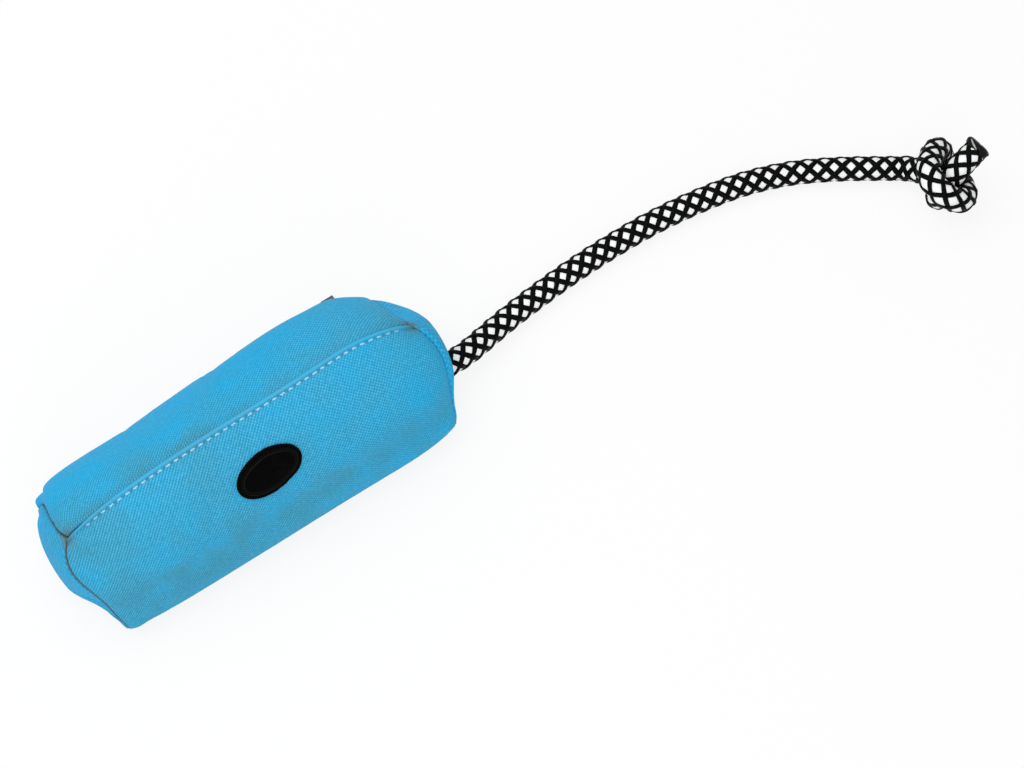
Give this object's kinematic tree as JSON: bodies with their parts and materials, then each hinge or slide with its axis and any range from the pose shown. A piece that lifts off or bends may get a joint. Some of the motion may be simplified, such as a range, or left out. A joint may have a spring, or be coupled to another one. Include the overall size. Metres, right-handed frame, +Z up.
{
  "type": "training bumper",
  "caption": "Stuffed light-blue fabric training bumper with a ridge seam, triangular bulging ends, an oval rubber badge and a black-and-white braided throw rope ending in a knot.",
  "frame": {"origin": "middle of the flat resting patch of the base panel, under mid length", "axes": "+X along the body towards the rope end, +Y towards the back edge, +Z up from the ground"},
  "size_m": [0.4828, 0.1346, 0.078],
  "materials": {
    "cover_fabric": "coated woven polyester, matte with a faint sheen",
    "foam": "open cut foam",
    "sewing_thread": "twisted polyester thread",
    "badge_rubber": "moulded soft rubber, satin",
    "tab_fabric": "folded woven tape",
    "braided_rope": "white braid with black strands",
    "melted_tip": "heat-sealed rope end"
  },
  "bodies": {
    "bumper": {"front_panel": "cover_fabric", "back_panel": "cover_fabric", "base_panel": "cover_fabric", "end_panel_closed": "cover_fabric", "end_panel_rope": "cover_fabric", "foam_core": "foam", "ridge_topstitch": "sewing_thread", "badge": "badge_rubber", "seam_tab": "tab_fabric", "rope_anchor": "braided_rope", "stop_knot": "braided_rope"},
    "rope_root": {"rope_bend_swing": "braided_rope"},
    "rope": {"rope_bend_lift": "braided_rope", "free_rope": "braided_rope", "end_knot": "braided_rope", "sealed_tip": "melted_tip"}
  },
  "joints": [
    {"name": "rope_swing", "type": "hinge", "parent": "bumper", "child": "rope_root", "pos_m": [0.114, -0.01, 0.0145], "axis": [0, 0, 1], "range_deg": [-60, 60], "deforming": ["rope_bend_swing"]},
    {"name": "rope_lift", "type": "hinge", "parent": "rope_root", "child": "rope", "pos_m": [0.13, -0.0072, 0.0106], "axis": [0, -1, 0], "range_deg": [0, 75], "deforming": ["rope_bend_lift"]}
  ]
}
